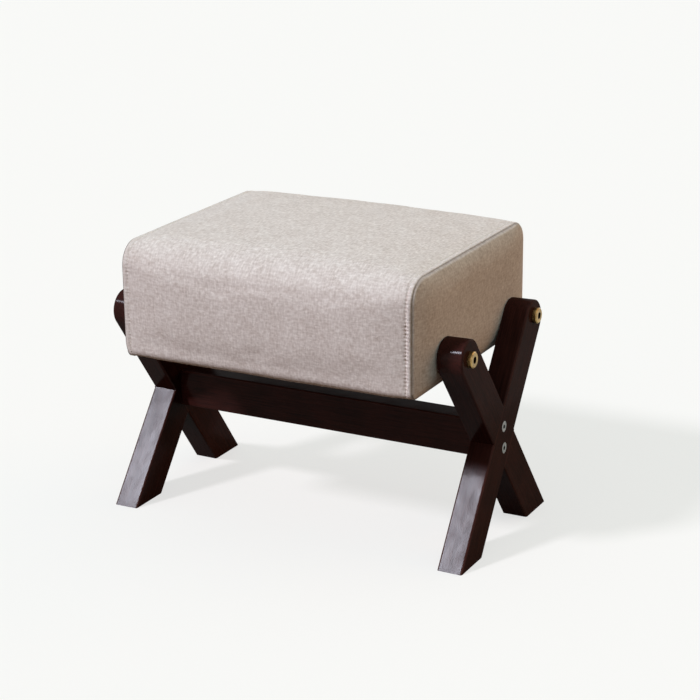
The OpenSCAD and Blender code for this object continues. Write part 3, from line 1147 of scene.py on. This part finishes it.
@dataclass
class FoamPart:
    """One foam part, softened from its solid, that the cover hides."""

    node: str
    foam: bpy.types.Material
    voxel: float = 2.6 * MM
    smoothing: int = 3
    inset: float = 0.8 * MM

    def build(self) -> bpy.types.Object:
        """Copies the solid's form, rounds it and draws it in from the cloth.

        Returns:
            The piece.
        """
        shape = bmesh.new()
        shape.from_mesh(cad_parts[self.node].data)
        bmesh.ops.remove_doubles(shape, verts=shape.verts, dist=0.01 * MM)
        bmesh.ops.recalc_face_normals(shape, faces=shape.faces)
        name = f"{self.node}_cut"
        mesh = bpy.data.meshes.new(name)
        shape.to_mesh(mesh)
        shape.free()
        draft = bpy.data.objects.new(name + "_draft", mesh)
        bpy.context.scene.collection.objects.link(draft)
        remesh = draft.modifiers.new("even", "REMESH")
        remesh.mode = "VOXEL"
        remesh.voxel_size = self.voxel
        soft = draft.modifiers.new("soft", "SMOOTH")
        soft.factor = 0.5
        soft.iterations = self.smoothing
        graph = bpy.context.evaluated_depsgraph_get()
        even = bpy.data.meshes.new_from_object(draft.evaluated_get(graph))
        shape = bmesh.new()
        shape.from_mesh(even)
        bpy.data.meshes.remove(even)
        drop_piece(draft)
        shape.normal_update()
        for vertex, move in [(v, v.normal * -self.inset) for v in shape.verts]:
            vertex.co += move
        piece = finish_piece(shape, name, self.foam)
        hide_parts(self.node)
        return piece


@dataclass
class TopStitching:
    """The row of stitches that holds the seam allowance down beside an end seam.

    A stitch shows over a share of its pitch. Its pinch, bow and dive are shares of the
    thread's own thickness.
    """

    form: SeatForm
    roll: SewnRoll
    end: End
    thread: bpy.types.Material
    radius: float = 0.34 * MM
    sides: int = 6
    pinch: float = 0.5
    bow: float = 0.7
    dive: float = 1.7
    share: float = 0.68
    clear: float = 14 * MM
    probe: float = 20 * MM

    def template(self) -> bpy.types.Mesh:
        """Makes one stitch: a thread one unit long that bows up and dives at both ends.

        Returns:
            The stitch's mesh, along Z.
        """
        stitch = bmesh.new()
        bmesh.ops.create_cone(
            stitch,
            cap_ends=True,
            segments=self.sides,
            radius1=self.radius,
            radius2=self.radius,
            depth=1.0,
        )
        long_edges = [e for e in stitch.edges if e.calc_length() > 0.5]
        bmesh.ops.subdivide_edges(stitch, edges=long_edges, cuts=3)
        for vertex in stitch.verts:
            near_end = (2 * vertex.co.z) ** 2
            thin = 1 - self.pinch * near_end
            vertex.co.x = vertex.co.x * thin + self.radius * (self.bow - self.dive * near_end)
            vertex.co.y *= thin
        mesh = bpy.data.meshes.new("stitch_template")
        stitch.to_mesh(mesh)
        stitch.free()
        return mesh

    def build(self, band: bpy.types.Object) -> bpy.types.Object:
        """Lays one short thread from hole to hole along the valley.

        Args:
            band: the sewn band that the stitches lie on.

        Returns:
            The piece with every stitch of that end.
        """
        table = self.form.section()
        length = float(table[-1, 0])
        surface = BVHTree.FromPolygons(
            [v.co for v in band.data.vertices], [p.vertices for p in band.data.polygons]
        )
        stitches = bmesh.new()
        template = self.template()
        across = self.end.value * (self.form.seam_x - self.roll.width)
        half = self.share / 2 * self.roll.stitch
        for number in range(int(length / self.roll.stitch)):
            middle = (number + 0.5) * self.roll.stitch
            if not self.clear < middle < length - self.clear:
                continue
            ends = []
            for along in (middle - half, middle + half):
                row = self.form.row_at(table, along)
                point, outward = self.form.on_band(row, across)
                hit = surface.ray_cast(point + outward * self.probe, -outward)[0]
                ends.append(point if hit is None else hit)
            run = ends[1] - ends[0]
            aside = outward.cross(run).normalized()
            lift = run.cross(aside).normalized() * -1
            if lift.dot(outward) < 0:
                aside, lift = -aside, -lift
            count = len(stitches.verts)
            stitches.from_mesh(template)
            stitches.verts.ensure_lookup_table()
            turn = Matrix((lift, aside, run)).transposed().to_4x4()
            place = Matrix.Translation((ends[0] + ends[1]) / 2)
            bmesh.ops.transform(stitches, matrix=place @ turn, verts=stitches.verts[count:])
        bpy.data.meshes.remove(template)
        bmesh.ops.recalc_face_normals(stitches, faces=stitches.faces)
        piece = finish_piece(stitches, f"topstitch_{self.end.name.lower()}", self.thread)
        return piece


@dataclass
class DustCover:
    """The black cloth stapled under the seat.

    A staple strays by about its jog, in millimetres, and its lean, in degrees.
    """

    columns: int = 92
    rows: int = 72
    half_x: float = 136.5 * MM
    half_y: float = 108.7 * MM
    z: float = 167.8 * MM
    sag: float = 1.6 * MM
    slack_reach: float = 60 * MM
    ripples: float = 38
    lift: float = 0.12 * MM
    pucker_in: float = 12 * MM
    pucker_width: float = 9 * MM
    staple_gap: float = 26 * MM
    margin: float = 6 * MM
    jog: float = 0.9
    lean: float = 7
    wire: tuple[float, float, float] = (10 * MM, 1.1 * MM, 0.6 * MM)
    wire_round: float = 0.2 * MM

    def height(self, x: float, y: float) -> float:
        """Finds the cloth's height: held at its edge, slack in the middle.

        Args:
            x: the place along the seat.
            y: the place across the seat.

        Returns:
            The height above the floor.
        """
        edge = min(self.half_x - abs(x), self.half_y - abs(y))
        slack = smoothstep((edge - self.margin) / self.slack_reach)
        ripple = noise.noise(Vector((x * self.ripples, y * self.ripples, 4.0)))
        pucker = math.cos(2 * math.pi * (x + y) / self.staple_gap)
        pucker *= math.exp(-(((edge - self.pucker_in) / self.pucker_width) ** 2))
        return self.z - slack * self.sag * (1 + 0.5 * ripple) - self.lift * (1 + pucker)

    def build(self, cloth_finish: bpy.types.Material) -> bpy.types.Object:
        """Spreads the sheet under the seat.

        Args:
            cloth_finish: the dust cloth's material.

        Returns:
            The piece.
        """
        cloth = flat_cloth(self.columns, self.rows)
        for vertex in cloth.verts:
            x, y = vertex.co.x * self.half_x, vertex.co.y * self.half_y
            vertex.co = Vector((x, y, self.height(x, y)))
        write_flat(cloth, lambda vertex: vertex.co.xy)
        bmesh.ops.reverse_faces(cloth, faces=cloth.faces)
        piece = finish_piece(cloth, "dust_cover_cloth", cloth_finish)
        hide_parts("dust_cover")
        return piece

    def places(self) -> list[tuple[float, float, float]]:
        """Spaces the staples round the cloth's edge, as unevenly as a hand does.

        Returns:
            X, Y and the turn in degrees of each staple.
        """
        found = []
        x, y = self.half_x - self.margin, self.half_y - self.margin
        for along, across, turned in ((x, y, False), (y, x, True)):
            count = round(2 * along / self.staple_gap)
            for i in range(count if turned else count + 1):
                spot = -along + 2 * along * (i + (0.5 if turned else 0.0)) / (count + turned)
                for side in (-1, 1):
                    jog = float(RNG.normal(0, self.jog)) * MM
                    lean = float(RNG.normal(0, self.lean))
                    edge = side * across + jog
                    found.append((edge, spot, 90 + lean) if turned else (spot, edge, lean))
        return found

    def staples(self, steel: bpy.types.Material) -> bpy.types.Object:
        """Drives a wire staple at each place.

        Args:
            steel: the staples' material.

        Returns:
            The piece with every staple.
        """
        wires = bmesh.new()
        for x, y, turn in self.places():
            bar = bmesh.ops.create_cube(wires, size=1.0)["verts"]
            size = Matrix.Diagonal((*self.wire, 1.0))
            spot = Matrix.Translation((x, y, self.height(x, y) - self.wire[2] / 2))
            turned = Matrix.Rotation(math.radians(turn), 4, "Z")
            bmesh.ops.transform(wires, matrix=spot @ turned @ size, verts=bar)
        bmesh.ops.bevel(
            wires,
            geom=wires.edges[:],
            offset=self.wire_round,
            segments=2,
            profile=0.5,
            affect="EDGES",
            material=-1,
        )
        piece = finish_piece(wires, "dust_cover_staples", steel)
        return piece


@dataclass
class UpholsteredSeat:
    """The box seat: sewn linen over foam, with the dust cloth and its staples."""

    form: SeatForm = SeatForm()
    roll: SewnRoll = SewnRoll()
    allowance: float = 10 * MM

    def build(self) -> None:
        """Builds every soft piece of the seat and reports it."""
        form, roll = self.form, self.roll
        linen = WovenLinen().build()
        foam = OpenCellFoam().build()
        thread = SewingThread().build()
        foams = []
        for node in ("top_foam", "front_padding", "rear_padding", "left_padding", "right_padding"):
            foams.append(FoamPart(node, foam).build())
            LOG.info("foam %s", node)
        maker = CoverBand(form, roll, linen)
        band = maker.build()
        maker.flat()
        LOG.info("cover band of %d faces", len(band.data.polygons))
        for end, pad in ((End.LEFT, foams[3]), (End.RIGHT, foams[4])):
            panel = EndPanel(form, roll, end, linen).build()
            TopStitching(form, roll, end, thread).build(band)
            LOG.info("end panel and stitches, %s", end.name.lower())
        under = DustCover()
        under.build(SpunbondCloth().build())
        under.staples(PlatedMetal("staple_wire_galvanised", "#b9bcc0", "#8e9196", 0.4).build())
        LOG.info("dust cover and staples")


def dress(node: str, material: bpy.types.Material) -> None:
    """Gives a solid its one material.

    Args:
        node: the solid's name.
        material: its finish.
    """
    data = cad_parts[node].data
    data.materials.clear()
    data.materials.append(material)
    LOG.info("%s in %s", node, material.name)


@dataclass
class CrossedFrames:
    """The two crossed-leg frames and the rail, in one stained and lacquered wood."""

    lean: float = 36.947
    splay: float = 1.2
    bolt_y: float = 73.5 * MM
    bolt_z: float = 197.24 * MM
    cross_z: float = 99.274 * MM
    mid_x: float = 170.77 * MM
    stock_w: float = 36.5 * MM
    stock_t: float = 25.0 * MM

    def build(self) -> None:
        """Gives each leg and the rail a finish with the grain along it."""
        for end in End:
            for foot, side in (("front", 1), ("rear", -1)):
                node = f"{end.name.lower()}_{foot}_leg"
                wood = StainedHardwood(
                    f"espresso_hardwood_{node}",
                    (end.value * self.mid_x, side * self.bolt_y, self.bolt_z),
                    -side * math.radians(self.lean),
                    -end.value * math.radians(self.splay),
                )
                dress(node, wood.build())
        rail = StainedHardwood(
            "espresso_hardwood_rail",
            (0.0, 0.0, self.cross_z),
            0.0,
            math.pi / 2,
            half_t=self.stock_w / 2,
            half_w=self.stock_t / 2,
        )
        dress("stretcher_rail", rail.build())


@dataclass
class Hardware:
    """Brass seat bolts, zinc crossing screws and the bolts' inserts.

    The heights are those of the heads, which sit a little above the bolts' and the
    screws' own places in the wood, because the frames lean.
    """

    bolt_y: float = 73.5 * MM
    bolt_z: float = 197.6 * MM
    bolt_socket_r: float = 3.2 * MM
    cross_z: float = 99.53 * MM
    screw_rise: float = 10.5 * MM
    screw_socket_r: float = 1.9 * MM

    def build(self) -> None:
        """Gives each kind of hardware its plated finish."""
        brass = PlatedMetal(
            "brass_plated_bolt",
            "#b1945f",
            "#7f653e",
            0.3,
            aside_y=self.bolt_y,
            middle_z=self.bolt_z,
            socket=self.bolt_socket_r,
        )
        zinc = PlatedMetal(
            "zinc_plated_screw",
            "#96979a",
            "#6d6e72",
            0.4,
            middle_z=self.cross_z,
            above_z=self.screw_rise,
            socket=self.screw_socket_r,
        )
        dress("seat_bolts", brass.build())
        dress("crossing_screws", zinc.build())
        dress("bolt_inserts", PlatedMetal("zinc_plated_insert", "#8d8e90", "#5c5d60", 0.4).build())


@dataclass
class SeatBox:
    """The bare boards and blocks inside the seat."""

    boards: tuple[str, ...] = (
        "seat_front_board",
        "seat_rear_board",
        "seat_left_board",
        "seat_right_board",
        "seat_deck",
        "corner_blocks",
    )

    def build(self) -> None:
        """Gives every board the same bare pine."""
        pine = SawnBoard().build()
        for node in self.boards:
            dress(node, pine)


@dataclass(frozen=True)
class SoftLamp:
    """A far, wide lamp."""

    name: str
    toward: tuple[float, float, float]
    strength: float
    colour: tuple[float, float, float]
    width: float
    away: float = 3.0

    def build(self) -> None:
        """Hangs the lamp where it shines on the stool from."""
        data = bpy.data.lights.new(self.name, "SUN")
        data.energy = self.strength
        data.angle = math.radians(self.width)
        data.color = self.colour
        lamp = bpy.data.objects.new(self.name, data)
        lamp.rotation_mode = "QUATERNION"
        lamp.rotation_quaternion = Vector(self.toward).to_track_quat("Z", "Y")
        lamp.location = Vector(self.toward) * self.away
        bpy.context.scene.collection.objects.link(lamp)


@dataclass
class Studio:
    """A pale floor, soft lamps and the camera."""

    azimuth: float = 0.487412
    elevation: float = 0.318066
    roll: float = -0.010328
    aside: float = 21.272545 * MM
    above: float = 7.715482 * MM
    distance: float = 1907.4713 * MM
    focal: float = 1985.257608
    image_width: int = 700
    sensor: float = 36.0
    aim_z: float = 150 * MM
    lamps: tuple[SoftLamp, ...] = (
        SoftLamp("key", (-0.458, -0.596, 0.66), 2.97, (0.855, 0.875, 1.0), 8.0),
        SoftLamp("front_fill", (-0.1, -0.97, 0.12), 0.6, (1.0, 0.74, 0.64), 60.0),
        SoftLamp("rear_fill", (0.15, 0.93, 0.25), 0.3, (1.0, 0.86, 0.7), 40.0),
        SoftLamp("warm_fill", (0.8, 0.55, 0.25), 0.93, (1.0, 0.5, 0.19), 50.0),
    )
    horizon: float = 0.04
    zenith: float = 0.74
    sky: str = "#defffc"
    backdrop: str = "#f7f7f7"
    floor_pale: str = "#f2eae0"
    floor_dim: str = "#4a2f17"
    floor_glow: float = 0.955
    floor_lift: float = 0.7
    floor_half: float = 14.0
    floor_drop: float = 0.2 * MM

    def build(self) -> None:
        """Makes the floor, the world, the lamps and the camera."""
        self.floor()
        self.world()
        for lamp in self.lamps:
            lamp.build()
        self.camera()

    def camera(self) -> None:
        """Stands the camera where the photograph was taken from."""
        a, e = self.azimuth, self.elevation
        back = Vector((math.sin(a) * math.cos(e), -math.cos(a) * math.cos(e), math.sin(e)))
        right = Vector((math.cos(a), math.sin(a), 0.0))
        up = back.cross(right)
        c, s = math.cos(self.roll), math.sin(self.roll)
        side, top = right * c + up * s, up * c - right * s
        spot = Vector((0, 0, self.aim_z)) + back * self.distance
        spot += side * self.aside + top * self.above
        data = bpy.data.cameras.new("camera")
        data.sensor_width = self.sensor
        data.lens = self.focal / self.image_width * data.sensor_width
        data.clip_start = 0.05
        data.clip_end = 60.0
        eye = bpy.data.objects.new("camera", data)
        turn = Matrix((side, top, back)).transposed().to_4x4()
        eye.matrix_world = Matrix.Translation(spot) @ turn
        bpy.context.scene.collection.objects.link(eye)
        bpy.context.scene.camera = eye

    def world(self) -> None:
        """Lights the room softly from above, behind the pale background."""
        world = bpy.data.worlds.new("studio")
        world.use_nodes = True
        bpy.context.scene.world = world
        tree = world.node_tree
        tree.nodes.clear()
        node = partial(add_node, tree)
        up = node("SeparateXYZ", links={0: node("TexCoord")["Generated"]})["Z"]
        span = {"To Min": self.horizon, "To Max": self.zenith}
        glow = node("MapRange", span, {"Value": up})["Result"]
        fill = node("Background", {"Color": linear(self.sky)}, {"Strength": glow})[0]
        pale = node("Background", {"Color": linear(self.backdrop), "Strength": 1.0})[0]
        path = node("LightPath")
        seen = path["Is Camera Ray"]
        for ray in ("Is Glossy Ray", "Is Transmission Ray"):
            seen = node("Math", links={0: seen, 1: path[ray]}, operation="MAXIMUM")[0]
        mix = node("MixShader", links={0: seen, 1: fill, 2: pale})[0]
        node("OutputWorld", links={0: mix})

    def floor(self) -> None:
        """Lays the floor: pale to the eye, dimmer in what it throws back, clear from below."""
        plane = bmesh.new()
        bmesh.ops.create_grid(plane, x_segments=1, y_segments=1, size=self.floor_half)
        mesh = bpy.data.meshes.new("floor")
        plane.to_mesh(mesh)
        plane.free()
        floor = bpy.data.objects.new("floor", mesh)
        floor.location.z = -self.floor_drop
        bpy.context.scene.collection.objects.link(floor)
        material = bpy.data.materials.new("studio_floor_matt")
        material.use_nodes = True
        tree = material.node_tree
        tree.nodes.remove(tree.nodes["Principled BSDF"])
        node = partial(add_node, tree)
        path = node("LightPath")
        pale = node("BsdfDiffuse", {"Color": linear(self.floor_pale)})[0]
        dim = node("BsdfDiffuse", {"Color": linear(self.floor_dim)})[0]
        glow = node("Emission", {"Strength": self.floor_glow})[0]
        lifted = node("MixShader", {0: self.floor_lift}, {1: pale, 2: glow})[0]
        thrown = node("MixShader", links={0: path["Is Diffuse Ray"], 1: pale, 2: dim})[0]
        above = node("MixShader", links={0: path["Is Camera Ray"], 1: thrown, 2: lifted})[0]
        below = node("NewGeometry")["Backfacing"]
        clear = node("BsdfTransparent")[0]
        both = node("MixShader", links={0: below, 1: above, 2: clear})[0]
        tree.links.new(both, tree.nodes["Material Output"].inputs[0])
        mesh.materials.append(material)


def main() -> None:
    """Builds the stool's pieces in order and reports each."""
    logging.basicConfig(level=logging.INFO, format="%(name)s: %(message)s")
    bpy.context.scene.view_settings.view_transform = "Standard"
    Studio().build()
    LOG.info("studio and camera")
    CrossedFrames().build()
    Hardware().build()
    SeatBox().build()
    UpholsteredSeat().build()


if __name__ == "__main__":
    main()
